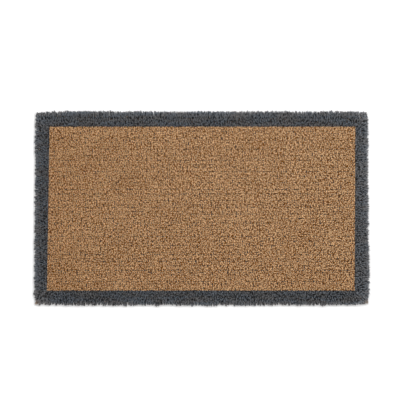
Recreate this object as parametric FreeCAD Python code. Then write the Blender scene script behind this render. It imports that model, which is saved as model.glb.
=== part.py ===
"""A door mat of coir tufts set in a flexible vinyl backing sheet, with a dyed border round a natural field.

Frame: +X along the long side, +Y towards the back, +Z up, millimetres.
Origin: the middle of the underside, on the floor.

Every tuft is a short length of coir yarn standing on end, with its root sunk in the vinyl.
The tufts stand in straight rows along X, packed so close that each row is one solid here.
A row that crosses the border is three solids, because the two stretches at its ends are dyed.
Near the edge of the mat nothing holds the tufts upright, so they fan out past the backing.
"""

import FreeCAD
import Part
import os

# Overall sizes of the cut backing
MAT_LENGTH = 700.0  # along X
MAT_WIDTH = 400.0  # along Y
BACKING_THICKNESS = 3.0

# Pile
PILE_HEIGHT = 14.0  # from the top of the backing to the tips
ROOT_DEPTH = 1.5  # how far each tuft is sunk in the vinyl
TUFT_PITCH = 4.8  # between rows, along Y; rounded so that whole rows fill the mat
ROW_GAP = 0.8  # clear space between two rows at the backing
SEAM_GAP = 0.8  # clear space between dyed and natural tufts within one row

# Edge of the mat
EDGE_WALL = 0.5  # vinyl left outside the outermost tufts
PILE_FLARE = 6.3  # how far the outermost tips reach past the backing
FLARE_DEPTH = 20.0  # how far in from the outermost tufts the pile still leans

# Dyed border, measured in from the edge of the backing
BORDER_SIDE_WIDTH = 22.7  # left and right
BORDER_END_WIDTH = 25.0  # front and back; rounded to whole rows

# Worked out from the sizes above
ROOT_LEVEL = BACKING_THICKNESS - ROOT_DEPTH
TIP_LEVEL = BACKING_THICKNESS + PILE_HEIGHT
OUTERMOST_X = MAT_LENGTH / 2 - EDGE_WALL
OUTERMOST_Y = MAT_WIDTH / 2 - EDGE_WALL
PILE_WIDTH = 2 * OUTERMOST_Y + ROW_GAP
ROW_COUNT = round(PILE_WIDTH / TUFT_PITCH)
ROW_PITCH = PILE_WIDTH / ROW_COUNT
BORDER_ROWS = round(BORDER_END_WIDTH / ROW_PITCH)
SEAM_X = MAT_LENGTH / 2 - BORDER_SIDE_WIDTH


def lean(place, outermost):
    """How far a tuft that leaves the backing at this place leans, from there to its tip."""
    inward = outermost - abs(place)
    share = max(0.0, 1 - inward / FLARE_DEPTH)
    reach = (PILE_FLARE + EDGE_WALL) * share
    return reach if place > 0 else -reach


def at_tip(place, outermost):
    return place + lean(place, outermost)


def at_root(place, outermost):
    """The tuft is straight, so its root lies back along the same line, inside the vinyl."""
    return place - lean(place, outermost) * ROOT_DEPTH / PILE_HEIGHT


def block(bottom, top):
    """A closed six-sided block between two level rectangles, each (x0, x1, y0, y1, z)."""
    rings = []
    for x0, x1, y0, y1, z in (bottom, top):
        corners = ((x0, y0), (x1, y0), (x1, y1), (x0, y1))
        rings.append([FreeCAD.Vector(x, y, z) for x, y in corners])
    low, high = rings
    outlines = [low[::-1], high]
    for i in range(4):
        j = (i + 1) % 4
        outlines.append([low[i], low[j], high[j], high[i]])
    faces = [Part.Face(Part.makePolygon(points + points[:1])) for points in outlines]
    return Part.Solid(Part.Shell(faces))


def tuft_row(row, x0, x1):
    """One row of tufts, which leaves the backing between x0 and x1."""
    y0 = row * ROW_PITCH - OUTERMOST_Y
    y1 = y0 + ROW_PITCH - ROW_GAP
    ends = []
    for place, level in ((at_root, ROOT_LEVEL), (at_tip, TIP_LEVEL)):
        across_x = (place(x0, OUTERMOST_X), place(x1, OUTERMOST_X))
        across_y = (place(y0, OUTERMOST_Y), place(y1, OUTERMOST_Y))
        ends.append((*across_x, *across_y, level))
    return block(*ends)


def pile():
    """The tuft rows of each stretch of the pile, by node name."""
    front = range(BORDER_ROWS)
    middle = range(BORDER_ROWS, ROW_COUNT - BORDER_ROWS)
    back = range(ROW_COUNT - BORDER_ROWS, ROW_COUNT)
    field_end = SEAM_X - SEAM_GAP / 2
    border_start = SEAM_X + SEAM_GAP / 2
    stretches = {
        "border_tufts_front": (front, -OUTERMOST_X, OUTERMOST_X),
        "border_tufts_back": (back, -OUTERMOST_X, OUTERMOST_X),
        "border_tufts_left": (middle, -OUTERMOST_X, -border_start),
        "border_tufts_right": (middle, border_start, OUTERMOST_X),
        "field_tufts": (middle, -field_end, field_end),
    }
    return {
        name: [tuft_row(row, x0, x1) for row in rows]
        for name, (rows, x0, x1) in stretches.items()
    }


def backing_sheet(rows_of_tufts):
    """The vinyl sheet, cut square, with a pocket round the roots of each row."""
    corner = FreeCAD.Vector(-MAT_LENGTH / 2, -MAT_WIDTH / 2, 0)
    sheet = Part.makeBox(MAT_LENGTH, MAT_WIDTH, BACKING_THICKNESS, corner)
    return sheet.cut(Part.makeCompound(rows_of_tufts))


def main():
    nodes = pile()
    every_row = [row for rows in nodes.values() for row in rows]
    nodes["backing_sheet"] = backing_sheet(every_row).Solids
    os.makedirs("parts", exist_ok=True)
    for name, solids in sorted(nodes.items()):
        shape = solids[0] if len(solids) == 1 else Part.makeCompound(solids)
        shape.exportStep(f"parts/{name}.step")
        volume = sum(solid.Volume for solid in solids) / 1000
        sound = all(solid.isValid() and solid.Volume > 0 for solid in solids)
        print(f"{name}: {len(solids)} solids, {volume:.1f} cm3, sound {sound}")


main()
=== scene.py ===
"""A coir door mat: thousands of upright tufts moulded into a vinyl backing, with a dyed border.

The tufts are planted by Geometry Nodes on the rows that the CAD frame gives. All sizes are in metres.
"""

import math
import random
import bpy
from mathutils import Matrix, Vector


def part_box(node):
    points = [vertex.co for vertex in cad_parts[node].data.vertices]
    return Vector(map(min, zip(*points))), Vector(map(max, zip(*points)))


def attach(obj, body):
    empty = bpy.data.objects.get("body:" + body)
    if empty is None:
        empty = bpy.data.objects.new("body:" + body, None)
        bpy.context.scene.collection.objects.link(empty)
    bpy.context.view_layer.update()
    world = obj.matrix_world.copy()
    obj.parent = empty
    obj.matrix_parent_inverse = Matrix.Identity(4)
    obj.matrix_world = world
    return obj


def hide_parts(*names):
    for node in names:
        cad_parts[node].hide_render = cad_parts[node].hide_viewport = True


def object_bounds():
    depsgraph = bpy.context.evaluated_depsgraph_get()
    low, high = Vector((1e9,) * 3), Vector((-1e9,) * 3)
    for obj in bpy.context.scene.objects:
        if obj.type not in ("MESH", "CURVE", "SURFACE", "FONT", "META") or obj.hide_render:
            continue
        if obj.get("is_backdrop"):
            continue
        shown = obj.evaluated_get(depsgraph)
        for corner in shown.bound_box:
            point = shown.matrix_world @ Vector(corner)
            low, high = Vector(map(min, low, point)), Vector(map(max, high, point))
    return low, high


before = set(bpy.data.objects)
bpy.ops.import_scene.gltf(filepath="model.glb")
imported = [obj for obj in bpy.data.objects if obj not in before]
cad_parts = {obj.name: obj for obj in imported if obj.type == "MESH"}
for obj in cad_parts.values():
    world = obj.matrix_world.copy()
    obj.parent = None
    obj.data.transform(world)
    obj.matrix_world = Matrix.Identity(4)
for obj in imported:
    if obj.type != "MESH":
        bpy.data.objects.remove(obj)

from types import SimpleNamespace

import bmesh
import bpy
import numpy as np
from bpy.props import FloatProperty, FloatVectorProperty, IntProperty, PointerProperty
from mathutils import Vector, noise

bl_info = {
    "name": "Coir Door Mat",
    "version": (1, 0, 0),
    "blender": (4, 5, 0),
    "location": "3D View > Sidebar > Door Mat",
    "description": "Plants a tufted coir door mat with a dyed border round its CAD frame",
    "category": "Add Mesh",
}

# What the frame gives
CAD_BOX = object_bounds()
_, BACKING_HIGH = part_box("backing_sheet")
FIELD_LOW, FIELD_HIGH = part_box("field_tufts")
RIGHT_LOW, RIGHT_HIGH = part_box("border_tufts_right")
BACK_LOW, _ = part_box("border_tufts_back")
HALF_LENGTH = BACKING_HIGH[0]
HALF_WIDTH = BACKING_HIGH[1]
BACKING_TOP = BACKING_HIGH[2]
ROOT_LEVEL = FIELD_LOW[2]
TIP_LEVEL = FIELD_HIGH[2]
FIELD_HALF_LENGTH = (FIELD_HIGH[0] + RIGHT_LOW[0]) / 2
FIELD_HALF_WIDTH = (FIELD_HIGH[1] + BACK_LOW[1]) / 2
FLARE = RIGHT_HIGH[0] - HALF_LENGTH

MILLI = 0.001
GOLDEN_ANGLE = math.pi * (3 - math.sqrt(5))
EDGE_BAND = 0.95  # of the tuft pitch: a tuft nearer the side than this is seen down to its root
PLAIN_SHAPES, EDGE_SHAPES, CORE_SHAPES = 24, 40, 6  # how many different ones the pile repeats
CURLY_SHAPES = 2  # plain sprigs with a fibre that the shears missed
TONE_SHARES = {"tuft_tone": 0.06, "sprig_tone": 0.66, "strand_tone": 0.28}  # in a fibre's own tone
TONE_RANGE = (0.26, 0.70)  # tones of the darkest and of the palest fibres
CUT_SLOPE = 0.35  # of a strand's end, at the most
CURL = ((1.2, 0.2, 0.15), (3.4, 0.9, 0.45), (5.2, 2.2, 0.1))  # out, aside and up, in millimetres
SPREAD_CURVE, LEAN_CURVE = 1.3, 1.35  # 1 would be straight, and more leaves the root more upright
SHAPE_PICKS = 999  # far more than there are shapes
FLOOR_HALF = 9.0


# ------------ settings


def millimetres(name, default, description):
    """A length, given in millimetres and kept in metres."""
    return FloatProperty(name=name, default=default * MILLI, unit="LENGTH", description=description)


def degrees(name, default, description):
    """An angle, given in degrees and kept in radians."""
    angle = math.radians(default)
    return FloatProperty(name=name, default=angle, subtype="ANGLE", description=description)


def whole_number(name, default, description):
    return IntProperty(name=name, default=default, description=description)


def position(name, default, description):
    return FloatVectorProperty(name=name, default=default, subtype="TRANSLATION", description=description)


def colour(name, default, description):
    return FloatVectorProperty(name=name, default=default, subtype="COLOR", description=description)


class PileSettings(bpy.types.PropertyGroup):
    """Sizes of the tufts and of the rows they stand in"""

    tuft_pitch: millimetres("Tuft pitch", 4.8, "Spacing of the tufts, along a row and from row to row")
    row_drift: millimetres("Row drift", 0.21, "How far each row is set to the left of the row in front")
    edge_wall: millimetres("Edge wall", 0.5, "Vinyl left outside the outermost tufts")
    flare: FloatProperty(
        name="Flare", default=FLARE, unit="LENGTH",
        description="How far the outermost tips reach past the backing",
    )
    flare_depth: millimetres("Flare depth", 20, "How far in from the edge the tufts still lean")
    back_lean: millimetres("Back lean", 3.4, "How much further they lean out at the back edge")
    front_bulge: millimetres(
        "Front bulge", 1.1,
        "How much further they lean out at the middle of the front edge",
    )
    edge_wander: millimetres(
        "Edge wander", 1.0,
        "How far the outline of the pile strays from a straight line",
    )
    wander: millimetres("Wander", 0.5, "How far a row or a tuft stands from its even place")
    sprigs: whole_number("Sprigs", 5, "How many bunches of fibres each tuft has split into")
    sprig_ring: millimetres("Sprig ring", 1.65, "How far the sprigs stand from the middle of their tuft")
    dark_drop: FloatProperty(
        name="Dark drop", default=0.12,
        description="Share of the height by which the darkest sprigs are lower",
    )
    core_radius: millimetres("Core radius", 2.4, "Half the width of the packed yarn inside a tuft")
    core_drop: millimetres("Core drop", 4.0, "How far below the tips a tuft's fibres are packed solid")
    sprig_reach: millimetres("Sprig reach", 1.1, "How far the tips of a sprig spread from its middle")
    edge_inset: millimetres(
        "Edge inset", 1.3,
        "How far inside the outermost tufts' outer side their sprigs stay",
    )
    fibre_width: millimetres("Fibre width", 0.32, "Thickness of one coir fibre")
    plain_strands: whole_number("Plain strands", 5, "How many strands a sprig has inside the mat")
    edge_strands: whole_number("Edge strands", 8, "How many strands a sprig has at the edge")
    edge_fibres: whole_number("Edge fibres", 4, "How many single fibres a sprig has at the edge")
    seed: whole_number("Seed", 5, "Fixes everything random in the pile")


class BackingSettings(bpy.types.PropertyGroup):
    """Sizes of the vinyl sheet's unevenness"""

    cell: millimetres("Cell", 8, "Size of the sheet's mesh cells")
    rim: millimetres("Rim", 0.35, "How much the sheet's rims are softened")
    stray: millimetres("Stray", 0.4, "The most that the knife cut strays inwards")
    hollow: millimetres("Hollow", 0.25, "The most that the underside lifts off the floor")
    wave_length: millimetres("Wave length", 30, "Distance over which the cut and the underside change")


class DyeSettings(bpy.types.PropertyGroup):
    """Colours of the border and how the dye lies on the pile"""

    skew: degrees("Skew", 0.57, "How far out of square the border lies on the mat")
    softness: millimetres(
        "Softness", 0.9,
        "Width of the blend from dyed to natural at the border's inner edge",
    )
    depth: millimetres("Depth", 9.8, "How far down from the tips the dye is full strength")
    fade: millimetres("Fade", 4.0, "Height over which the dye fades out below that")
    light: colour("Light grey", (0.192, 0.197, 0.206), "Colour of the palest dyed fibres")
    dark: colour("Dark grey", (0.014, 0.0146, 0.016), "Colour of the darkest dyed fibres")


class CoirSettings(bpy.types.PropertyGroup):
    """Colours of the natural fibres"""

    light: colour("Light coir", (0.928, 0.627, 0.352), "Colour of the palest natural fibres")
    dark: colour("Dark coir", (0.225, 0.070, 0.001), "Colour of the darkest natural fibres")
    roughness: FloatProperty(
        name="Roughness", default=0.72, subtype="FACTOR",
        description="Roughness of a coir fibre",
    )


class StageSettings(bpy.types.PropertyGroup):
    """The camera, the light and the floor"""

    elevation: degrees("Elevation", 84.5, "Height of the camera above the horizon")
    lens: FloatProperty(
        name="Lens", default=240.0,
        description="Focal length of the camera in millimetres",
    )
    width_in_view: FloatProperty(
        name="Width in view", default=0.8545, unit="LENGTH",
        description="How much of the floor the picture is wide",
    )
    aim: position("Aim", (-0.0035, 0.0182, 0.012), "The point on the floor at the middle of the picture")
    softbox_power: FloatProperty(
        name="Softbox power", default=52.0,
        description="Power of the soft light overhead, in watts",
    )
    softbox_size: FloatProperty(
        name="Softbox size", default=1.2, unit="LENGTH",
        description="Length of a side of the soft light",
    )
    softbox_place: position("Softbox place", (0.12, 0.1, 2.2), "Where the soft light hangs")
    room: FloatProperty(
        name="Room light", default=0.32,
        description="Brightness of the room overhead, as a share of that low down",
    )
    floor: colour("Floor", (0.9, 0.9, 0.9), "Colour of the floor")


# ------------ node wiring


def plain_name(name):
    """A socket's name as Python writes it, the same as that of the setting that feeds it."""
    return name.lower().replace(" ", "_")


class Signal:
    """The output of a node. Arithmetic on it adds Math nodes to the same tree."""

    def __init__(self, wiring, socket):
        self.wiring = wiring
        self.socket = socket

    def math(self, operation, *others):
        return self.wiring.add("ShaderNodeMath", (self, *others), operation=operation)

    def __add__(self, other):
        return self.math("ADD", other)

    __radd__ = __add__

    def __sub__(self, other):
        return self.math("SUBTRACT", other)

    def __rsub__(self, other):
        return self.math("MULTIPLY", -1).math("ADD", other)

    def __mul__(self, other):
        return self.math("MULTIPLY", other)

    __rmul__ = __mul__

    def __truediv__(self, other):
        return self.math("DIVIDE", other)

    def __pow__(self, other):
        return self.math("POWER", other)

    def clamped(self):
        return self.math("MAXIMUM", 0.0).math("MINIMUM", 1.0)


class Wiring:
    """Adds nodes to one tree. An input is given a plain value or the signal that feeds it."""

    def __init__(self, tree):
        self.tree = tree

    def add(self, kind, inputs=(), output=0, **settings):
        node = self.tree.nodes.new(kind)
        for name, value in settings.items():
            setattr(node, name, value)
        sockets = [socket for socket in node.inputs if socket.enabled]
        given = inputs.items() if isinstance(inputs, dict) else enumerate(inputs)
        for key, value in given:
            by_name = isinstance(key, str)
            self.feed(next(s for s in sockets if s.name == key) if by_name else sockets[key], value)
        outputs = [socket for socket in node.outputs if socket.enabled]
        if not outputs:
            return None
        by_name = isinstance(output, str)
        return Signal(self, next(s for s in outputs if s.name == output) if by_name else outputs[output])

    def feed(self, socket, value):
        if isinstance(value, Signal):
            self.tree.links.new(value.socket, socket)
        else:
            socket.default_value = value

    def interface(self, inputs, outputs):
        """Names the tree's own sockets and returns the input signals, as tuft_pitch for Tuft Pitch."""
        for direction, sockets in (("INPUT", inputs), ("OUTPUT", outputs)):
            for name, (kind, default) in sockets.items():
                socket = self.tree.interface.new_socket(name, in_out=direction, socket_type=kind)
                if default is not None:
                    socket.default_value = default
        node = self.tree.nodes.new("NodeGroupInput")
        return SimpleNamespace(**{plain_name(name): Signal(self, node.outputs[name]) for name in inputs})

    def finish(self, results):
        node = self.tree.nodes.new("NodeGroupOutput")
        for name, value in results.items():
            self.feed(node.inputs[name], value)
        return self.tree

    def axes(self, vector):
        node = self.tree.nodes.new("ShaderNodeSeparateXYZ")
        self.feed(node.inputs[0], vector)
        return [Signal(self, socket) for socket in node.outputs]

    def vector(self, x, y, z):
        return self.add("ShaderNodeCombineXYZ", (x, y, z))

    def mix(self, factor, a, b):
        return self.add("ShaderNodeMix", (factor, a, b), data_type="RGBA")

    def multiply(self, a, b):
        return self.add("ShaderNodeMix", (1.0, a, b), data_type="RGBA", blend_type="MULTIPLY")

    def noise(self, place, scale, detail=2.0, roughness=0.5):
        """Smooth noise from 0 to 1."""
        settings = {"Vector": place, "Scale": scale, "Detail": detail, "Roughness": roughness}
        return self.add("ShaderNodeTexNoise", settings, output="Fac")

    def step(self, value, start, end):
        """0 before start, 1 after end and smooth between them."""
        settings = {"Value": value, "From Min": start, "From Max": end}
        return self.add("ShaderNodeMapRange", settings, interpolation_type="SMOOTHSTEP")


FLOAT = ("NodeSocketFloat", None)
NUMBER = ("NodeSocketInt", None)
COLOUR = ("NodeSocketColor", None)


# ------------ finishes


def group_node(wiring, tree, inputs=None):
    """Places a shader group in a material or another group and returns its outputs by name."""
    node = wiring.tree.nodes.new("ShaderNodeGroup")
    node.node_tree = tree
    for name, value in (inputs or {}).items():
        wiring.feed(node.inputs[name], value)
    return {socket.name: Signal(wiring, socket) for socket in node.outputs}


def new_material(name):
    """A material with its shader, and the wiring of its tree."""
    material = bpy.data.materials.new(name)
    material.use_nodes = True
    return material, material.node_tree.nodes["Principled BSDF"], Wiring(material.node_tree)


def fibre_grain_group():
    """Single fibres, which run from root to tip and show as specks on the cut ends, with painted shade
    darkening the gaps between them.
    """
    w = Wiring(bpy.data.node_groups.new("Fibre grain", "ShaderNodeTree"))
    given = w.interface({"Fibre Width": FLOAT, "Streak Length": FLOAT}, {"Tone": FLOAT, "Height": FLOAT})
    x, y, z = w.axes(w.add("ShaderNodeAttribute", output="Vector", attribute_name="grain"))
    width = given.fibre_width
    place = w.vector(x / width, y / width, z / given.streak_length)
    cells = w.tree.nodes.new("ShaderNodeTexVoronoi")
    w.feed(cells.inputs["Vector"], place)
    cells.inputs["Scale"].default_value = 1.0
    from_middle = Signal(w, cells.outputs["Distance"])
    own, _, _ = w.axes(Signal(w, cells.outputs["Color"]))
    solid = 1.0 - w.step(from_middle, 0.35, 0.85)
    # Tone is each fibre's own random tone, darkened in the gaps between fibres as painted shade
    return w.finish({"Tone": own * 0.6 + solid * 0.4, "Height": solid})


def border_dye_group():
    """Where the pile is dyed, and how far down."""
    w = Wiring(bpy.data.node_groups.new("Border dye", "ShaderNodeTree"))
    print_sizes = ("Half Length", "Half Width", "Skew", "Softness")
    depth_sizes = ("Full Level", "Bare Level", "Corner X", "Corner Y")
    given = w.interface(dict.fromkeys(print_sizes + depth_sizes, FLOAT), {"Dye": FLOAT, "Tint": COLOUR})
    place = w.add("ShaderNodeTexCoord", output="Object")
    x, y, z = w.axes(place)
    rows = w.noise(w.vector(x * 0.25, y, 0), 75.0, detail=3.0, roughness=0.6)
    tint = w.mix(w.step(rows, 0.38, 0.62), (1.04, 0.99, 0.95, 1), (0.95, 1.02, 1.09, 1))

    # The printed frame, with a soft and slightly ragged inner edge
    past_side = (x - y * given.skew).math("ABSOLUTE") - given.half_length
    past_end = y.math("ABSOLUTE") - given.half_width
    outside = past_side.math("MAXIMUM", past_end)
    ragged = outside + (w.noise(place, 260.0) - 0.5) * given.softness * 2
    printed = w.step(ragged, given.softness * -0.5, given.softness * 0.5)

    # At the ends of the mat the dye is a little thinner, and the right end is painted lighter than the
    # left as painted light from the right
    thinner_dye_and_right_light = w.step(past_side, 0.0, given.softness) * (0.14 + x * 0.17)
    tint = w.mix(thinner_dye_and_right_light, tint, (2, 2, 2, 1))

    # It runs down to an uneven level, and is rubbed off at the front corners
    uneven = z + (w.noise(place, 420.0) - 0.5) * (given.full_level - given.bare_level)
    run_down = w.step(uneven, given.bare_level, given.full_level)
    to_corner_x = x.math("ABSOLUTE") - given.corner_x
    to_corner_y = y - given.corner_y
    to_corner = (to_corner_x * to_corner_x + to_corner_y * to_corner_y).math("SQRT")
    rubbed = to_corner + (w.noise(place, 300.0) - 0.5) * 12 * MILLI
    kept = w.step(rubbed, 3 * MILLI, 15 * MILLI) * 0.25 + 0.75
    return w.finish({"Dye": printed * run_down * kept, "Tint": tint})


def coir_colour_group():
    """One fibre colour from a tone of 0 to 1, painted darker and warmer towards the left and front as
    painted shade, and in random patches across the mat.
    """
    w = Wiring(bpy.data.node_groups.new("Coir colour", "ShaderNodeTree"))
    sockets = {"Dark": COLOUR, "Light": COLOUR, "Tone": FLOAT, "Warmth": COLOUR}
    given = w.interface(sockets, {"Color": COLOUR})
    place = w.add("ShaderNodeTexCoord", output="Object")
    x, y, _ = w.axes(place)
    patches = w.noise(place, 7.0, detail=3.0)
    # Painted light: darker towards the left and front and lighter towards the right and back, mixed with
    # random patches of real colour drift
    across = (x * 0.9 + y * 0.8) * -1.0 + (patches - 0.5) * 1.1
    along_rows = w.noise(w.vector(x * 0.12, y, 0), 110.0, detail=2.0)
    uneven = (w.noise(place, 16.0, detail=3.0) - 0.5) * 0.3 + (along_rows - 0.5) * 0.22
    fibre = w.mix((given.tone + uneven).clamped(), given.dark, given.light)
    darker_warmer = w.multiply(fibre, given.warmth)
    return w.finish({"Color": w.mix((across + 0.5).clamped(), fibre, darker_warmer)})


def fibre_colour(w, groups, tone, colours, warmth):
    """A colour between a finish's dark and light ones. The last argument is the colour it is multiplied
    by towards the left and front of the mat, as painted shade and a little warmth.
    """
    dark, light = (*colours.dark, 1), (*colours.light, 1)
    inputs = {"Dark": dark, "Light": light, "Tone": tone, "Warmth": (*warmth, 1)}
    return group_node(w, groups["colour"], inputs)["Color"]


def coir_material(name, groups, scene):
    """Coir fibre: natural inside the border's inner edge, dyed outside it."""
    pile, dye, coir = scene.mat_pile, scene.mat_dye, scene.mat_coir
    material, shader, w = new_material(name)

    # Each tuft, sprig, strand and fibre has its own tone, with painted shade in the gaps between fibres
    widths = {"Fibre Width": pile.fibre_width, "Streak Length": pile.fibre_width * 22}
    grain = group_node(w, groups["grain"], widths)
    shares = [
        w.add("ShaderNodeAttribute", output="Fac", attribute_name=name) * share
        for name, share in TONE_SHARES.items()
    ]
    tone = w.step(sum(shares) + (grain["Tone"] - 0.5) * 0.3, *TONE_RANGE)

    # Both finishes are painted darker towards the left and front as painted shade
    natural = fibre_colour(w, groups, tone, coir, warmth=(0.90, 0.84, 0.78))
    dyed = fibre_colour(w, groups, tone, dye, warmth=(0.86, 0.86, 0.87))
    full_level = TIP_LEVEL - dye.depth
    sizes = {
        "Half Length": FIELD_HALF_LENGTH,
        "Half Width": FIELD_HALF_WIDTH,
        "Skew": math.tan(dye.skew),
        "Softness": dye.softness,
        "Full Level": full_level,
        "Bare Level": full_level - dye.fade,
        "Corner X": HALF_LENGTH + FLARE,
        "Corner Y": -HALF_WIDTH - FLARE,
    }
    printed = group_node(w, groups["dye"], sizes)
    tinted = w.multiply(dyed, printed["Tint"])
    w.feed(shader.inputs["Base Color"], w.mix(printed["Dye"], natural, tinted))
    w.feed(shader.inputs["Roughness"], 0.9 - grain["Tone"] * (0.9 - coir.roughness))
    shader.inputs["Specular IOR Level"].default_value = 0.05
    bump = {"Strength": 0.6, "Distance": 0.5 * pile.fibre_width, "Height": grain["Height"]}
    w.feed(shader.inputs["Normal"], w.add("ShaderNodeBump", bump))
    return material


def vinyl_material(scene):
    """Poured vinyl: matte black, a little cloudy, with coir showing where the knife cut through tufts."""
    material, shader, w = new_material("vinyl backing")
    place = w.add("ShaderNodeTexCoord", output="Object")
    x, y, z = w.axes(place)
    cloud = w.noise(place, 45.0, detail=4.0, roughness=0.6)
    pebble = w.noise(place, 900.0, detail=2.0)
    vinyl = w.mix(cloud, (0.022, 0.021, 0.021, 1), (0.05, 0.048, 0.046, 1))
    rim = scene.mat_backing.rim
    past_side = x.math("ABSOLUTE") - (HALF_LENGTH - rim)
    past_end = y.math("ABSOLUTE") - (HALF_WIDTH - rim)
    cut_face = w.step(past_side.math("MAXIMUM", past_end), 0.0, 0.1 * MILLI)
    on_cut = cut_face * w.step(z, ROOT_LEVEL, 1.2 * ROOT_LEVEL)
    roots = w.noise(w.vector(x, y, z * 0.3), 1500.0, detail=1.0)
    fleck = on_cut * w.step(roots, 0.6, 0.68) * 0.8
    w.feed(shader.inputs["Base Color"], w.mix(fleck, vinyl, (*scene.mat_coir.dark, 1)))
    streaks = w.noise(w.vector(x, y, z * 0.05), 1200.0, detail=2.0)
    w.feed(shader.inputs["Roughness"], 0.45 + pebble * 0.25 + fleck * 0.2)
    height = pebble * 0.6 + streaks * on_cut
    bump = {"Strength": 0.6, "Distance": 0.15 * MILLI, "Height": height}
    w.feed(shader.inputs["Normal"], w.add("ShaderNodeBump", bump))
    return material


# ------------ shapes


def new_shape():
    return {"points": [], "faces": [], "tones": [], "cells": [], "starts": []}


def add_face(shape, corners, cell):
    """Adds a face. cell says where its corners lie in the strand's own small part of the bake's map."""
    shape["faces"].append(corners)
    shape["cells"] += cell


def add_caps(shape, bottom, top):
    """Closes both ends of a strand, in the low and the high end of its part of the map."""
    for corners, low, high in ((tuple(reversed(bottom)), 0.02, 0.1), (tuple(top), 0.8, 0.96)):
        angles = [math.tau * k / len(corners) for k in range(len(corners))]
        middle, half = (low + high) / 2, (high - low) / 2
        add_face(shape, corners, [(0.5 - 0.4 * math.cos(a), middle - half * math.sin(a)) for a in angles])


def ring(centre, radius, sides, phase, tilt, draw):
    """Points round a centre, a little uneven. tilt is how steeply the ring slopes along x and y."""
    points = []
    for k in range(sides):
        angle = phase + math.tau * k / sides
        out = Vector((math.cos(angle), math.sin(angle), 0)) * radius * draw.uniform(0.8, 1.2)
        out.z = out.x * tilt[0] + out.y * tilt[1]
        points.append(centre + out)
    return points


def cut_slope(draw):
    """How steeply the shears left a strand's end, along x and y."""
    return draw.uniform(-CUT_SLOPE, CUT_SLOPE), draw.uniform(-CUT_SLOPE, CUT_SLOPE)


def add_spike(shape, root, tip, radius, draw):
    """Adds a bundle of fibres that is widest at its cut end: three sides and a cap."""
    first = len(shape["points"])
    shape["starts"].append(len(shape["faces"]))
    tilt = cut_slope(draw)
    shape["points"] += [root, *ring(tip, radius, 3, draw.uniform(0, math.tau), tilt, draw)]
    for k in range(3):
        side = (first, first + 1 + (k + 1) % 3, first + 1 + k)
        add_face(shape, side, [(0.5, 0.05), (0.9, 0.75), (0.1, 0.75)])
    add_face(shape, (first + 1, first + 2, first + 3), [(0.1, 0.8), (0.9, 0.8), (0.5, 0.96)])
    shape["tones"] += [draw.random()] * 4


def add_strand(shape, path, radii, draw, tone=None, sides=3):
    """Adds a bundle of fibres, or a single one, that can bend: flat sides along a path, and two ends."""
    first = len(shape["points"])
    shape["starts"].append(len(shape["faces"]))
    phase = draw.uniform(0, math.tau)
    tilt = cut_slope(draw)
    last = len(path) - 1
    for i, (centre, radius) in enumerate(zip(path, radii)):
        shape["points"] += ring(centre, radius, sides, phase, tilt if i == last else (0, 0), draw)
    for i in range(last):
        low, high = (0.12 + 0.65 * level / last for level in (i, i + 1))
        for k in range(sides):
            a = first + sides * i + k
            b = first + sides * i + (k + 1) % sides
            side = (a, b, b + sides, a + sides)
            add_face(shape, side, [(0.1, low), (0.9, low), (0.9, high), (0.1, high)])
    end = first + sides * last
    add_caps(shape, range(first, first + sides), range(end, end + sides))
    shape["tones"] += [draw.random() if tone is None else tone] * (sides * len(path))


def spread_path(root, tip, bends):
    """Points from root to tip, which leave the root upright and then spread."""
    path = []
    for i in range(bends + 1):
        share = i / bends
        point = root.lerp(tip, share**SPREAD_CURVE)
        point.z = root.z + (tip.z - root.z) * share
        path.append(point)
    return path


def sprig_tips(pile, strands, draw):
    """Where the strands of a sprig end, packed in a disc round its middle."""
    height = TIP_LEVEL - ROOT_LEVEL
    turn = draw.uniform(0, math.tau)
    for k in range(strands):
        angle = turn + k * GOLDEN_ANGLE + draw.uniform(-0.35, 0.35)
        out = pile.sprig_reach * math.sqrt((k + 0.5) / strands) * draw.uniform(0.88, 1.15)
        tall = height - (0.6 * draw.random() + 3.6 * draw.random() ** 3) * MILLI
        yield Vector((math.cos(angle) * out, math.sin(angle) * out, tall))


def plain_sprig(pile, draw, number):
    """A sprig for the inside of the mat, where only its upper part can be seen."""
    shape = new_shape()
    for tip in sprig_tips(pile, pile.plain_strands, draw):
        root = Vector((tip.x * 0.3, tip.y * 0.3, 0))
        add_spike(shape, root, tip, pile.sprig_reach * draw.uniform(0.42, 0.6), draw)
    if number < CURLY_SHAPES:
        add_curl(shape, pile, draw)
    return shape


def add_curl(shape, pile, draw):
    """Adds a single fibre that leaves the tuft near its tip and bends over the next one."""
    angle = draw.uniform(0, math.tau)
    along = Vector((math.cos(angle), math.sin(angle), 0))
    side = Vector((-along.y, along.x, 0)) * draw.uniform(-1, 1)
    top = TIP_LEVEL - ROOT_LEVEL
    path = [Vector((0, 0, top - 2 * MILLI))]
    for out, aside, rise in CURL:
        point = (along * out + side * aside) * MILLI * draw.uniform(0.8, 1.2)
        point.z = top + rise * MILLI
        path.append(point)
    wide = pile.fibre_width * draw.uniform(0.4, 0.55)
    add_strand(shape, path, (wide, wide, wide, wide * 0.7), draw, tone=draw.uniform(0.7, 1.6))


def tuft_core(pile, draw, number):
    """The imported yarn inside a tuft, which closes the view down to the backing."""
    shape = new_shape()
    top = TIP_LEVEL - ROOT_LEVEL - pile.core_drop
    path = [Vector((0, 0, level)) for level in (0, top - 2.5 * MILLI, top)]
    radii = [pile.core_radius * share for share in (0.8, 1.0, 0.35)]
    add_strand(shape, path, radii, draw, tone=0.4, sides=5)
    return shape


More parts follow.
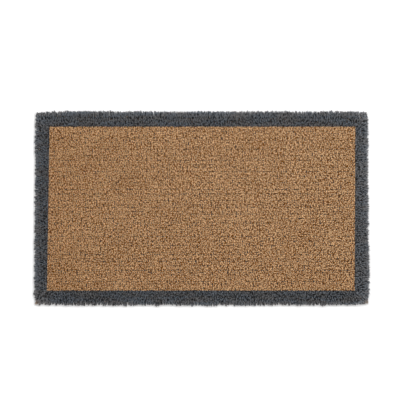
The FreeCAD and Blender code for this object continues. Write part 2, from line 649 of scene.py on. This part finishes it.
def edge_sprig(pile, draw, number):
    """A sprig for the mat's edge, where it is seen from the side down to its root."""
    shape = new_shape()
    for tip in sprig_tips(pile, pile.edge_strands, draw):
        root = Vector((tip.x * 0.6, tip.y * 0.6, 0))
        wide = pile.sprig_reach * draw.uniform(0.34, 0.54)
        add_strand(shape, spread_path(root, tip, 2), (wide * 0.8, wide * 0.95, wide), draw)
    for tip in sprig_tips(pile, pile.edge_fibres, draw):
        tip = Vector((tip.x * 1.5, tip.y * 1.5, tip.z - draw.uniform(-0.3, 1.5) * MILLI))
        root = Vector((tip.x * 0.4, tip.y * 0.4, 0))
        wide = pile.fibre_width * draw.uniform(0.5, 0.7)
        add_strand(shape, spread_path(root, tip, 1), (wide, wide * 0.8), draw)
    return shape


def sprig_collection(name, make, count, pile):
    """A collection of different sprigs, which isn't part of the scene."""
    draw = random.Random(f"{name} {pile.seed}")
    sprigs = bpy.data.collections.new(name)
    for k in range(count):
        shape = make(pile, draw, k)
        mesh = bpy.data.meshes.new(f"{name} {k + 1}")
        mesh.from_pydata(shape["points"], [], shape["faces"])
        tones = mesh.attributes.new("strand_tone", "FLOAT", "POINT")
        tones.data.foreach_set("value", shape["tones"])
        starts = mesh.attributes.new("strand_start", "INT", "FACE")
        for face in shape["starts"]:
            starts.data[face].value = 1
        cells = mesh.uv_layers.new(name="OFBake")
        cells.data.foreach_set("uv", [number for spot in shape["cells"] for number in spot])
        sprigs.objects.link(bpy.data.objects.new(mesh.name, mesh))
    return sprigs


# ------------ the backing


def backing_mesh(backing):
    """A slab with knife-cut sides that wander a little, softened rims and a faintly uneven underside."""
    across = math.ceil(2 * HALF_LENGTH / backing.cell)
    deep = math.ceil(2 * HALF_WIDTH / backing.cell)
    step_x, step_y = 2 * HALF_LENGTH / across, 2 * HALF_WIDTH / deep

    def stray(x, y):
        """How far a point of the cut stands in from the true edge."""
        wave = noise.noise(Vector((x, y, 0)) / backing.wave_length)
        return backing.stray * (0.5 + 0.5 * wave)

    def place(i, j, level, inset):
        x, y = i * step_x - HALF_LENGTH, j * step_y - HALF_WIDTH
        if i in (0, across):
            x -= math.copysign(stray(0.0, y) + inset, x)
        if j in (0, deep):
            y -= math.copysign(stray(x, 0.0) + inset, y)
        if level == 0 and 0 < i < across and 0 < j < deep:
            level = backing.hollow * (0.5 + 0.5 * noise.noise(Vector((x, y, 1.0)) / backing.wave_length))
        return Vector((x, y, level))

    built = bmesh.new()

    def line(j, level, inset):
        return [built.verts.new(place(i, j, level, inset)) for i in range(across + 1)]

    def grid(level, inset):
        return [line(j, level, inset) for j in range(deep + 1)]

    rim = [(i, 0) for i in range(across)] + [(across, j) for j in range(deep)]
    rim += [(i, deep) for i in range(across, 0, -1)] + [(0, j) for j in range(deep, 0, -1)]
    bottom, top = grid(0, backing.rim), grid(BACKING_TOP, backing.rim)
    for layer, upward in ((bottom, False), (top, True)):
        for j in range(deep):
            for i in range(across):
                corners = [layer[j][i], layer[j][i + 1], layer[j + 1][i + 1], layer[j + 1][i]]
                built.faces.new(corners if upward else reversed(corners))
    rings = [[bottom[j][i] for i, j in rim]]
    for level in (backing.rim, BACKING_TOP - backing.rim):
        rings.append([built.verts.new(place(i, j, level, 0.0)) for i, j in rim])
    rings.append([top[j][i] for i, j in rim])
    for low, high in zip(rings, rings[1:]):
        for k in range(len(rim)):
            after = (k + 1) % len(rim)
            built.faces.new((low[k], low[after], high[after], high[k]))
    mesh = bpy.data.meshes.new("vinyl_sheet")
    built.to_mesh(mesh)
    built.free()
    return mesh


# ------------ the pile


# What the tree takes straight from the settings
PILE_NUMBERS = ("Sprigs", "Seed")
LEAN_SIZES = ("Flare Depth", "Front Bulge", "Back Lean", "Edge Wander")
PILE_SIZES = ("Tuft Pitch", "Row Drift", "Wander", "Edge Inset", "Sprig Ring", "Dark Drop", *LEAN_SIZES)

# What the tree draws random numbers for, each with a sequence of its own
PURPOSES = (
    "tuft aside", "tuft along", "row along", "tuft tone", "tuft reach",
    "lean x", "lean y", "turn", "girth", "height", "sprig shape",
    "first angle", "uneven angle", "distance out", "sprig tone", "core shape", "shuffle",
)
SEQUENCES = {purpose: number for number, purpose in enumerate(PURPOSES, 1)}


class TuftRows(Wiring):
    """Geometry Nodes that plant straight rows of tufts and lean them outwards near the mat's edge."""

    def __init__(self):
        super().__init__(bpy.data.node_groups.new("Tuft rows", "GeometryNodeTree"))
        ends = ("Left End", "Right End", "Left Slope", "Right Slope")
        bounds = ("Row Pitch", "Outermost X", "Outermost Y", "Root Level", "Backing Top", "Pile Height")
        sockets = dict.fromkeys(("First Row", "Rows", *PILE_NUMBERS), NUMBER)
        sockets |= dict.fromkeys(("Flare", *ends, *bounds, *PILE_SIZES), FLOAT)
        sockets |= dict.fromkeys(("Plain Sprigs", "Edge Sprigs", "Cores"), ("NodeSocketCollection", None))
        sockets["Finish"] = ("NodeSocketMaterial", None)
        self.given = self.interface(sockets, {"Geometry": ("NodeSocketGeometry", None)})
        self.most_x = self.given.outermost_x - self.given.edge_inset
        self.most_y = self.given.outermost_y - self.given.edge_inset
        self.position = self.add("GeometryNodeInputPosition")
        self.tuft = self.named("tuft", "INT")
        self.sprig = self.named("sprig", "INT")

    def build(self):
        places = self.move_off(self.name_tufts(self.even_rows()))
        cores = self.fill(places)
        places = self.split(places)
        joined = self.tree.nodes.new("GeometryNodeJoinGeometry")
        for planted in (cores, *self.plant_sprigs(places)):
            self.tree.links.new(planted.socket, joined.inputs[0])
        pile = self.add("GeometryNodeRealizeInstances", (Signal(self, joined.outputs[0]),))
        pile = self.lean_outwards(self.store(pile, "grain", self.position, "FLOAT_VECTOR"))
        for name in ("tuft", "sprig", "tuft_reach"):
            pile = self.add("GeometryNodeRemoveAttribute", (pile, name))
        pile = self.add("GeometryNodeSetMaterial", {"Geometry": pile, "Material": self.given.finish})
        return self.finish({"Geometry": pile})

    def named(self, name, kind="FLOAT"):
        return self.add("GeometryNodeInputNamedAttribute", (name,), data_type=kind)

    def store(self, geometry, name, value, kind="FLOAT"):
        """Keeps a value with every point, under a name."""
        inputs = {"Geometry": geometry, "Name": name, "Value": value}
        return self.add("GeometryNodeStoreNamedAttribute", inputs, data_type=kind, domain="POINT")

    def chance(self, low, high, purpose, subject):
        """A random number for each subject, with its own sequence for each purpose."""
        seed = self.given.seed * 31 + SEQUENCES[purpose]
        return self.add("FunctionNodeRandomValue", (low, high, subject, seed), data_type="FLOAT")

    def shapes_at(self, places, collection, subject, purpose, **more):
        """Sets one of a collection's shapes at each place, picked at random for each subject."""
        picks = (0, SHAPE_PICKS, subject, SEQUENCES[purpose])
        pick = self.add("FunctionNodeRandomValue", picks, data_type="INT")
        shapes = self.add("GeometryNodeCollectionInfo", (collection, True, True))
        inputs = {"Points": places, "Instance": shapes, "Pick Instance": True, "Instance Index": pick}
        return self.add("GeometryNodeInstanceOnPoints", inputs | more)

    def held_in(self, x, y):
        """A place at root level, moved inwards where it would stand out of the backing."""
        x = x.math("MINIMUM", self.most_x).math("MAXIMUM", self.most_x * -1)
        y = y.math("MINIMUM", self.most_y).math("MAXIMUM", self.most_y * -1)
        return self.vector(x, y, self.given.root_level)

    def margin(self):
        """Distance in from the nearest side, in tuft pitches."""
        x, y, _ = self.axes(self.position)
        from_side = self.given.outermost_x - x.math("ABSOLUTE")
        from_end = self.given.outermost_y - y.math("ABSOLUTE")
        return from_side.math("MINIMUM", from_end) / self.given.tuft_pitch

    def even_rows(self):
        """Rows a little longer than the mat, cut to this stretch's ends."""
        given = self.given
        index = self.add("GeometryNodeInputIndex")
        columns = (given.outermost_x * 2 / given.tuft_pitch).math("CEIL") + 2
        row_here = (index / columns).math("FLOOR")
        column = index - row_here * columns
        row = row_here + given.first_row
        start = (0.5 - row * given.row_drift / given.tuft_pitch).math("FRACT") - 1
        x = (column + start) * given.tuft_pitch - given.outermost_x
        y = (row + 0.5) * given.row_pitch - given.outermost_y
        even = self.vector(x, y, given.root_level)
        places = self.add("GeometryNodePoints", (given.rows * columns, even, MILLI))

        x, y, _ = self.axes(self.position)
        before = x.math("LESS_THAN", given.left_end + y * given.left_slope)
        past = x.math("GREATER_THAN", given.right_end + y * given.right_slope)
        outside = {"Geometry": places, "Selection": before.math("MAXIMUM", past)}
        return self.add("GeometryNodeDeleteGeometry", outside, domain="POINT")

    def row(self):
        _, y, _ = self.axes(self.position)
        return ((y + self.given.outermost_y) / self.given.row_pitch).math("FLOOR")

    def name_tufts(self, places):
        """Numbers the tufts, and gives each its tone and how far it reaches."""
        x, _, _ = self.axes(self.position)
        column = ((x + self.given.outermost_x) / self.given.tuft_pitch).math("FLOOR") + 5
        places = self.store(places, "tuft", self.row() * 1000 + column, "INT")
        places = self.store(places, "tuft_tone", self.chance(0.0, 1.0, "tuft tone", self.tuft))
        return self.store(places, "tuft_reach", self.chance(-1.0, 1.0, "tuft reach", self.tuft))

    def move_off(self, places):
        """Moves the tufts off their even places, but not out of the backing."""
        x, y, _ = self.axes(self.position)
        wander = self.given.wander
        x = x + self.chance(-1.0, 1.0, "tuft aside", self.tuft) * wander
        of_tuft = self.chance(-0.8, 0.8, "tuft along", self.tuft) * wander
        of_row = self.chance(-0.8, 0.8, "row along", self.row()) * wander
        moved = {"Geometry": places, "Position": self.held_in(x, y + of_tuft + of_row)}
        return self.add("GeometryNodeSetPosition", moved)

    def fill(self, places):
        """Fills each tuft's inside with packed yarn, except in the outermost ones."""
        inside = self.margin().math("GREATER_THAN", EDGE_BAND)
        return self.shapes_at(places, self.given.cores, self.tuft, "core shape", Selection=inside)

    def split(self, places):
        """Splits each tuft into sprigs round its middle: a pale one, a dark one and some between."""
        sprigs = self.given.sprigs
        copies = self.tree.nodes.new("GeometryNodeDuplicateElements")
        copies.domain = "POINT"
        self.feed(copies.inputs["Geometry"], places)
        self.feed(copies.inputs["Amount"], sprigs)
        sprig = self.tuft * sprigs + Signal(self, copies.outputs["Duplicate Index"])
        places = self.store(Signal(self, copies.outputs["Geometry"]), "sprig", sprig, "INT")

        x, y, _ = self.axes(self.position)
        uneven = self.sprig + self.chance(-0.2, 0.2, "uneven angle", self.sprig)
        angle = self.chance(0.0, math.tau, "first angle", self.tuft) + uneven * math.tau / sprigs
        out = self.given.sprig_ring * self.chance(0.8, 1.2, "distance out", self.sprig)
        moved = self.held_in(x + angle.math("COSINE") * out, y + angle.math("SINE") * out)
        places = self.add("GeometryNodeSetPosition", {"Geometry": places, "Position": moved})

        shuffled = self.sprig * 2 + (self.chance(0.0, 1.0, "shuffle", self.tuft) * sprigs).math("FLOOR")
        order = shuffled.math("FLOORED_MODULO", sprigs)
        tone = (order + self.chance(0.0, 1.0, "sprig tone", self.sprig)) / sprigs
        return self.store(places, "sprig_tone", tone)

    def plant_sprigs(self, places):
        """Plants plain sprigs inside and fuller ones along the edge. The dark ones stand lower."""
        sprig = self.sprig
        lean_x, lean_y = self.chance(-0.1, 0.1, "lean x", sprig), self.chance(-0.1, 0.1, "lean y", sprig)
        turn = self.vector(lean_x, lean_y, self.chance(0.0, math.tau, "turn", sprig))
        turn = self.add("FunctionNodeEulerToRotation", (turn,))
        girth = self.chance(0.93, 1.12, "girth", sprig)
        lowered = (1.0 - self.named("sprig_tone")) ** 2 * self.given.dark_drop
        size = self.vector(girth, girth, self.chance(0.97, 1.0, "height", sprig) - lowered)
        on_edge = self.margin().math("LESS_THAN", EDGE_BAND)
        turned = {"Rotation": turn, "Scale": size}
        plain, fuller = self.given.plain_sprigs, self.given.edge_sprigs
        inside = self.shapes_at(places, plain, sprig, "sprig shape", Selection=1.0 - on_edge, **turned)
        outside = self.shapes_at(places, fuller, sprig, "sprig shape", Selection=on_edge, **turned)
        return inside, outside

    def lean_outwards(self, pile):
        """Leans the pile outwards near the edge, more towards the tips."""
        given = self.given
        x, y, z = self.axes(self.position)
        share_x = (1.0 - (self.most_x - x.math("ABSOLUTE")) / given.flare_depth).clamped()
        share_y = (1.0 - (self.most_y - y.math("ABSOLUTE")) / given.flare_depth).clamped()
        most = (share_x * share_x + share_y * share_y).math("SQRT").math("MAXIMUM", 1.0)
        along = (x / given.outermost_x) ** 2
        at_front = y.math("LESS_THAN", 0.0)
        further = at_front * (1.0 - along) * given.front_bulge + (1.0 - at_front) * given.back_lean
        slowly = (self.noise(self.position, 22.0, detail=1.0) - 0.5) * given.edge_wander * 4
        # From tuft to tuft the front edge is more ragged than the back one
        tuft_by_tuft = self.named("tuft_reach") * (at_front + 0.7) * given.edge_wander
        lean_x = share_x / most * (given.flare + slowly + tuft_by_tuft) * x.math("SIGN")
        lean_y = share_y / most * (given.flare + further + slowly + tuft_by_tuft) * y.math("SIGN")
        height = given.pile_height
        rise = ((z - given.backing_top) / height).clamped()
        bend = rise**LEAN_CURVE
        drop = (lean_x * lean_x + lean_y * lean_y) / height * rise * -0.5
        offset = self.vector(lean_x * bend, lean_y * bend, drop)
        return self.add("GeometryNodeSetPosition", {"Geometry": pile, "Offset": offset})


def spread_cells(mesh):
    """Gives each strand a part of the bake's map to itself, twice as tall as it is wide."""
    starts = np.empty(len(mesh.polygons), int)
    mesh.attributes["strand_start"].data.foreach_get("value", starts)
    strand = np.repeat(np.cumsum(starts) - 1, [len(face.vertices) for face in mesh.polygons])
    columns = math.ceil(math.sqrt(2 * (strand[-1] + 1)))
    rows = math.ceil((strand[-1] + 1) / columns)
    cells = mesh.uv_layers["OFBake"].data
    spots = np.empty(2 * len(cells), np.float32)
    cells.foreach_get("uv", spots)
    spots = (spots.reshape(-1, 2) + np.stack((strand % columns, strand // columns), 1)) / (columns, rows)
    cells.foreach_set("uv", spots.ravel())
    mesh.attributes.remove(mesh.attributes["strand_start"])


def plant(name, inputs, node):
    """Runs the tree once and keeps the result as a plain mesh that stands for a CAD node."""
    tree = bpy.data.node_groups["Tuft rows"]
    carrier = bpy.data.objects.new(f"{name} carrier", bpy.data.meshes.new(f"{name} carrier"))
    bpy.context.scene.collection.objects.link(carrier)
    modifier = carrier.modifiers.new("Tuft rows", "NODES")
    modifier.node_group = tree
    sockets = {item.name: item.identifier for item in tree.interface.items_tree if item.in_out == "INPUT"}
    for key, value in inputs.items():
        modifier[sockets[key]] = value
    graph = bpy.context.evaluated_depsgraph_get()
    mesh = bpy.data.meshes.new_from_object(carrier.evaluated_get(graph))
    bpy.data.objects.remove(carrier)
    if not mesh.polygons:
        raise RuntimeError(f"{name} came out empty")
    mesh.name = name
    spread_cells(mesh)
    piece = bpy.data.objects.new(name, mesh)
    bpy.context.scene.collection.objects.link(piece)
    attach(piece, "root")
    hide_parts(node)
    return piece


def row_layout(pile):
    """How many rows the mat has, their pitch, and how many of them the border takes at each end."""
    outermost = HALF_WIDTH - pile.edge_wall
    rows = round(2 * outermost / pile.tuft_pitch)
    pitch = 2 * outermost / rows
    border = round((outermost - FIELD_HALF_WIDTH) / pitch)
    return rows, pitch, border


def stretch_inputs(scene, first_row, rows, left, right, finish):
    """The tree's inputs for one stretch of the pile. left and right are (x at the middle, slope)."""
    pile = scene.mat_pile
    return {name: getattr(pile, plain_name(name)) for name in PILE_NUMBERS + PILE_SIZES} | {
        "First Row": first_row,
        "Rows": rows,
        "Row Pitch": row_layout(pile)[1],
        "Left End": left[0],
        "Left Slope": left[1],
        "Right End": right[0],
        "Right Slope": right[1],
        "Outermost X": HALF_LENGTH - pile.edge_wall,
        "Outermost Y": HALF_WIDTH - pile.edge_wall,
        "Root Level": ROOT_LEVEL,
        "Backing Top": BACKING_TOP,
        "Pile Height": TIP_LEVEL - BACKING_TOP,
        "Flare": pile.flare + pile.edge_wall + pile.edge_inset,
        "Plain Sprigs": bpy.data.collections["plain sprigs"],
        "Edge Sprigs": bpy.data.collections["edge sprigs"],
        "Cores": bpy.data.collections["tuft cores"],
        "Finish": bpy.data.materials[finish],
    }


# ------------ operators


class MixFinishes(bpy.types.Operator):
    """Makes the coir and vinyl materials and the shader groups that they share"""

    bl_idname = "doormat.mix_finishes"
    bl_label = "Mix Finishes"

    def execute(self, context):
        groups = {"grain": fibre_grain_group(), "dye": border_dye_group(), "colour": coir_colour_group()}
        coir_material("natural coir", groups, context.scene)
        coir_material("dyed coir", groups, context.scene)
        vinyl_material(context.scene)
        return {"FINISHED"}


class CutTufts(bpy.types.Operator):
    """Makes the tuft shapes and the node tree that plants them"""

    bl_idname = "doormat.cut_tufts"
    bl_label = "Cut Tufts"

    def execute(self, context):
        pile = context.scene.mat_pile
        sprig_collection("plain sprigs", plain_sprig, PLAIN_SHAPES, pile)
        sprig_collection("edge sprigs", edge_sprig, EDGE_SHAPES, pile)
        sprig_collection("tuft cores", tuft_core, CORE_SHAPES, pile)
        TuftRows().build()
        return {"FINISHED"}


class PourBacking(bpy.types.Operator):
    """Makes the vinyl sheet that holds the tufts"""

    bl_idname = "doormat.pour_backing"
    bl_label = "Pour Backing"

    def execute(self, context):
        backing = context.scene.mat_backing
        mesh = backing_mesh(backing)
        mesh.materials.append(bpy.data.materials["vinyl backing"])
        sheet = bpy.data.objects.new("vinyl_sheet", mesh)
        context.scene.collection.objects.link(sheet)
        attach(sheet, "root")
        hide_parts("backing_sheet")
        return {"FINISHED"}


class PlantField(bpy.types.Operator):
    """Plants the natural tufts, in bands of rows"""

    bl_idname = "doormat.plant_field"
    bl_label = "Plant Field"

    bands: whole_number("Bands", 8, "How many pieces the field is made in")

    def execute(self, context):
        scene = context.scene
        rows, _, border = row_layout(scene.mat_pile)
        slope = math.tan(scene.mat_dye.skew)
        ends = (-FIELD_HALF_LENGTH, slope), (FIELD_HALF_LENGTH, slope)
        edges = [border + round((rows - 2 * border) * k / self.bands) for k in range(self.bands + 1)]
        for k, (first, last) in enumerate(zip(edges, edges[1:])):
            inputs = stretch_inputs(scene, first, last - first, *ends, "natural coir")
            plant(f"field_tufts_{k + 1}", inputs, "field_tufts")
        return {"FINISHED"}


class PlantBorder(bpy.types.Operator):
    """Plants the dyed tufts on all four sides"""

    bl_idname = "doormat.plant_border"
    bl_label = "Plant Border"

    def execute(self, context):
        scene = context.scene
        rows, _, border = row_layout(scene.mat_pile)
        slope = math.tan(scene.mat_dye.skew)
        outer = HALF_LENGTH + 0.3 * scene.mat_pile.tuft_pitch  # a little past the last tufts
        left_edge, right_edge = (-outer, 0.0), (outer, 0.0)
        left_seam, right_seam = (-FIELD_HALF_LENGTH, slope), (FIELD_HALF_LENGTH, slope)
        middle = rows - 2 * border
        for side, first, count, left, right in (
            ("front", 0, border, left_edge, right_edge),
            ("back", rows - border, border, left_edge, right_edge),
            ("left", border, middle, left_edge, left_seam),
            ("right", border, middle, right_seam, right_edge),
        ):
            inputs = stretch_inputs(scene, first, count, left, right, "dyed coir")
            node = f"border_tufts_{side}"
            plant(f"{node}_pile", inputs, node)
        return {"FINISHED"}


class SetStage(bpy.types.Operator):
    """Adds the floor, the lights and the camera"""

    bl_idname = "doormat.set_stage"
    bl_label = "Set Stage"

    def execute(self, context):
        stage = context.scene.mat_stage
        self.lay_floor(stage)
        self.hang_lights(context.scene, stage)
        self.place_camera(context.scene, stage)
        context.scene.view_settings.view_transform = "Standard"
        return {"FINISHED"}

    def lay_floor(self, stage):
        corners = [(x * FLOOR_HALF, y * FLOOR_HALF, 0) for x, y in ((-1, -1), (1, -1), (1, 1), (-1, 1))]
        mesh = bpy.data.meshes.new("floor")
        mesh.from_pydata(corners, [], [(0, 1, 2, 3)])
        material, shader, _ = new_material("pale floor")
        shader.inputs["Base Color"].default_value = (*stage.floor, 1)
        shader.inputs["Roughness"].default_value = 0.9
        shader.inputs["Specular IOR Level"].default_value = 0.1
        mesh.materials.append(material)
        floor = bpy.data.objects.new("floor", mesh)
        bpy.context.scene.collection.objects.link(floor)
        floor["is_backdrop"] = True

    def hang_lights(self, scene, stage):
        """One broad soft light from above, in a room that is brightest low down, like a studio sweep."""
        light = bpy.data.lights.new("softbox", "AREA")
        light.size = stage.softbox_size
        light.energy = stage.softbox_power
        lamp = bpy.data.objects.new("softbox", light)
        lamp.location = stage.softbox_place
        lamp.rotation_euler = Vector(stage.softbox_place).to_track_quat("Z", "Y").to_euler()
        scene.collection.objects.link(lamp)
        world = bpy.data.worlds.new("studio room")
        world.use_nodes = True
        w = Wiring(world.node_tree)
        _, _, up = w.axes(w.add("ShaderNodeTexCoord", output="Generated"))
        brightness = w.add("ShaderNodeMapRange", (up, 0.08, 0.45, 1.0, stage.room))
        background = world.node_tree.nodes["Background"]
        w.feed(background.inputs["Strength"], brightness)
        background.inputs["Color"].default_value = (1, 1, 1, 1)
        scene.world = world

    def place_camera(self, scene, stage):
        camera = bpy.data.cameras.new("camera")
        camera.lens = stage.lens
        distance = stage.width_in_view * stage.lens / camera.sensor_width
        back = Vector((0, -math.cos(stage.elevation), math.sin(stage.elevation)))
        holder = bpy.data.objects.new("camera", camera)
        holder.location = Vector(stage.aim) + back * distance
        holder.rotation_euler = back.to_track_quat("Z", "Y").to_euler()
        scene.collection.objects.link(holder)
        scene.camera = holder


class DoorMatPanel(bpy.types.Panel):
    """Steps and settings of the door mat"""

    bl_idname = "VIEW3D_PT_door_mat"
    bl_label = "Door Mat"
    bl_space_type = "VIEW_3D"
    bl_region_type = "UI"
    bl_category = "Door Mat"

    def draw(self, context):
        for operator in OPERATORS:
            self.layout.operator(operator.bl_idname)
        for group in SETTINGS:
            settings = getattr(context.scene, group)
            box = self.layout.box()
            for name in settings.bl_rna.properties.keys():
                if name not in ("rna_type", "name"):
                    box.prop(settings, name)


SETTINGS = {
    "mat_backing": BackingSettings,
    "mat_pile": PileSettings,
    "mat_dye": DyeSettings,
    "mat_coir": CoirSettings,
    "mat_stage": StageSettings,
}
OPERATORS = (MixFinishes, CutTufts, PourBacking, PlantField, PlantBorder, SetStage)


def register():
    for cls in (*SETTINGS.values(), *OPERATORS, DoorMatPanel):
        bpy.utils.register_class(cls)
    for name, group in SETTINGS.items():
        setattr(bpy.types.Scene, name, PointerProperty(type=group))


def unregister():
    for name in SETTINGS:
        delattr(bpy.types.Scene, name)
    for cls in (DoorMatPanel, *reversed(OPERATORS), *reversed(SETTINGS.values())):
        bpy.utils.unregister_class(cls)


def main():
    register()
    bpy.ops.doormat.mix_finishes()
    bpy.ops.doormat.cut_tufts()
    bpy.ops.doormat.pour_backing()
    bpy.ops.doormat.plant_field()
    bpy.ops.doormat.plant_border()
    bpy.ops.doormat.set_stage()
    boxes = {"cad": CAD_BOX, "visual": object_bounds()}
    {name: [list(corner) for corner in box] for name, box in boxes.items()}


if __name__ == "__main__":
    main()
